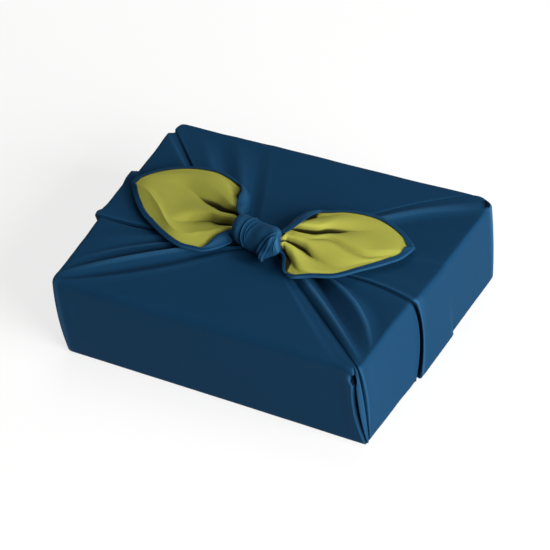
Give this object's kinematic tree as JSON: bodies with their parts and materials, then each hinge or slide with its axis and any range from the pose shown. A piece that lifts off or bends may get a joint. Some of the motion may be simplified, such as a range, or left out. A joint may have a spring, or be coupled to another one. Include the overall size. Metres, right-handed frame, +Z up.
{
  "type": "furoshiki-wrapped box",
  "caption": "Flat gift box wrapped in a square of navy cloth lined in green, with pleated corners and its free ends tied in a knot on top",
  "frame": {"origin": "Middle of the bundle's box in plan, on the flat base", "axes": "+X along the long side, from the broader free end on the left to the other one on the right; +Y to the back; +Z up through the knot"},
  "size_m": [0.3146, 0.2262, 0.1154],
  "materials": {
    "navy_cloth": "plain-woven navy cotton with a soft, faint sheen",
    "green_cloth": "smooth lime-green sateen lining, softly lustrous"
  },
  "bodies": {
    "root": {"wrap": "navy_cloth", "lining_left": "green_cloth", "lining_right": "green_cloth"}
  },
  "joints": []
}
